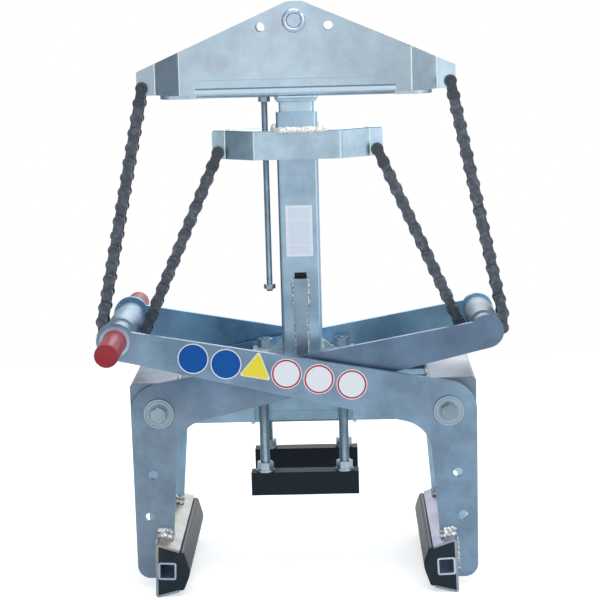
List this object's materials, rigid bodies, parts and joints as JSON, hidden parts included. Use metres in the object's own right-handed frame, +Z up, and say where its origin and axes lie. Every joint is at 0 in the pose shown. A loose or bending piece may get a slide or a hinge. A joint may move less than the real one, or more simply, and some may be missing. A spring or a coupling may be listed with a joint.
{
  "type": "stone lifting clamp",
  "caption": "Crossed-lever clamp that grips a kerb stone between long rubber-faced jaws when its head is hoisted and two roller chains draw the levers up.",
  "frame": {"origin": "on the ground under the middle of the column, where the jaws stand", "axes": "+Z up along the column, +X from the left jaw to the right jaw, front to -Y"},
  "size_m": [0.704, 0.4528, 0.9755],
  "materials": {
    "zinc_plate": "satin",
    "zinc_tube": "satin",
    "zinc_lever": "satin",
    "turned_steel": "satin",
    "zinc_fastener": "polished",
    "chain_steel": "oiled",
    "red_grip": "matte",
    "black_rubber": "matte",
    "label": "satin",
    "weld": "rough"
  },
  "bodies": {
    "frame": {"centre_cross_plates": "zinc_plate", "centre_side_plates": "zinc_plate", "centre_top_plate": "zinc_plate", "column_gussets": "zinc_plate", "column_tube": "zinc_tube", "end_box_caps": "zinc_plate", "front_pad": "black_rubber", "latch_cover": "zinc_plate", "latch_pin": "turned_steel", "left_beams": "zinc_plate", "left_chain_inner": "chain_steel", "left_end_box": "zinc_plate", "left_pivot_shaft": "turned_steel", "lower_chain_pins": "chain_steel", "lower_traverse_front": "zinc_plate", "lower_traverse_rear": "zinc_plate", "lower_traverse_web": "zinc_plate", "pad_rod_fixings": "zinc_fastener", "pad_rods": "zinc_fastener", "pivot_screws": "zinc_fastener", "pivot_spacers": "turned_steel", "pivot_washers": "zinc_fastener", "rear_pad": "black_rubber", "right_beams": "zinc_plate", "right_chain_inner": "chain_steel", "right_end_box": "zinc_plate", "right_pivot_shaft": "turned_steel", "rod_guide": "zinc_plate"},
    "head": {"upper_traverse_front": "zinc_plate", "upper_traverse_rear": "zinc_plate", "upper_traverse_base": "zinc_plate", "tube_collar": "zinc_plate", "inner_tube": "zinc_tube", "suspension_pin": "turned_steel", "upper_chain_pins": "chain_steel", "limit_rod": "zinc_fastener", "limit_rod_nuts": "zinc_fastener", "left_chain_outer": "chain_steel", "right_chain_outer": "chain_steel"},
    "right_jaw_lever": {"right_jaw_lever_front": "zinc_lever", "right_jaw_lever_rear": "zinc_lever", "right_jaw_channel": "zinc_plate", "right_jaw_rail": "zinc_plate", "right_jaw_rubber": "black_rubber", "left_lift_shaft": "turned_steel", "left_shaft_sleeves": "turned_steel", "left_shaft_washers": "zinc_fastener", "shaft_grips": "red_grip"},
    "left_jaw_lever": {"left_jaw_lever_front": "zinc_lever", "left_jaw_lever_rear": "zinc_lever", "left_jaw_channel": "zinc_plate", "left_jaw_rail": "zinc_plate", "left_jaw_rubber": "black_rubber", "right_lift_shaft": "turned_steel", "right_shaft_sleeves": "turned_steel"},
    "left_drum": {"left_chain_drum": "turned_steel"},
    "right_drum": {"right_chain_drum": "turned_steel"},
    "left_wrap": {"left_chain_wrap": "chain_steel"},
    "right_wrap": {"right_chain_wrap": "chain_steel"},
    "latch": {"latch_pawl": "chain_steel"}
  },
  "joints": [
    {"name": "head_lift", "type": "slide", "parent": "frame", "child": "head", "axis": [0, 0, 1], "range_m": [0, 0.2117], "deforming": ["left_chain_outer", "left_chain_wrap", "left_chain_inner", "right_chain_outer", "right_chain_wrap", "right_chain_inner"]},
    {"name": "right_jaw_pivot", "type": "hinge", "parent": "frame", "child": "right_jaw_lever", "pos_m": [0.241, 0, 0.305], "axis": [0, 1, 0], "range_deg": [0, 10.79]},
    {"name": "left_jaw_pivot", "type": "hinge", "parent": "frame", "child": "left_jaw_lever", "pos_m": [-0.241, 0, 0.305], "axis": [0, -1, 0], "range_deg": [0, 10.79]},
    {"name": "left_drum_spin", "type": "hinge", "parent": "right_jaw_lever", "child": "left_drum", "pos_m": [-0.3065, 0, 0.433], "axis": [0, 1, 0], "range_deg": [0, 152.7]},
    {"name": "right_drum_spin", "type": "hinge", "parent": "left_jaw_lever", "child": "right_drum", "pos_m": [0.3065, 0, 0.433], "axis": [0, -1, 0], "range_deg": [0, 152.7]},
    {"name": "left_wrap_travel", "type": "slide", "parent": "head", "child": "left_wrap", "axis": [0.2889, 0, -0.9574], "range_m": [0, 0.1166]},
    {"name": "right_wrap_travel", "type": "slide", "parent": "head", "child": "right_wrap", "axis": [-0.2889, 0, -0.9574], "range_m": [0, 0.1166]},
    {"name": "latch_swing", "type": "hinge", "parent": "frame", "child": "latch", "pos_m": [0, -0.0385, 0.477], "axis": [-1, 0, 0], "range_deg": [0, 6], "stiffness_Nm_per_rad": 0.05, "springref_deg": -11.46}
  ],
  "couplings": [
    {"joint": "right_jaw_pivot", "follows": "head_lift", "rad_per_m": 0.8894},
    {"joint": "left_jaw_pivot", "follows": "head_lift", "rad_per_m": 0.8894},
    {"joint": "left_drum_spin", "follows": "head_lift", "rad_per_m": 12.586},
    {"joint": "right_drum_spin", "follows": "head_lift", "rad_per_m": 12.586},
    {"joint": "left_wrap_travel", "follows": "head_lift", "ratio": 0.55},
    {"joint": "right_wrap_travel", "follows": "head_lift", "ratio": 0.55}
  ]
}
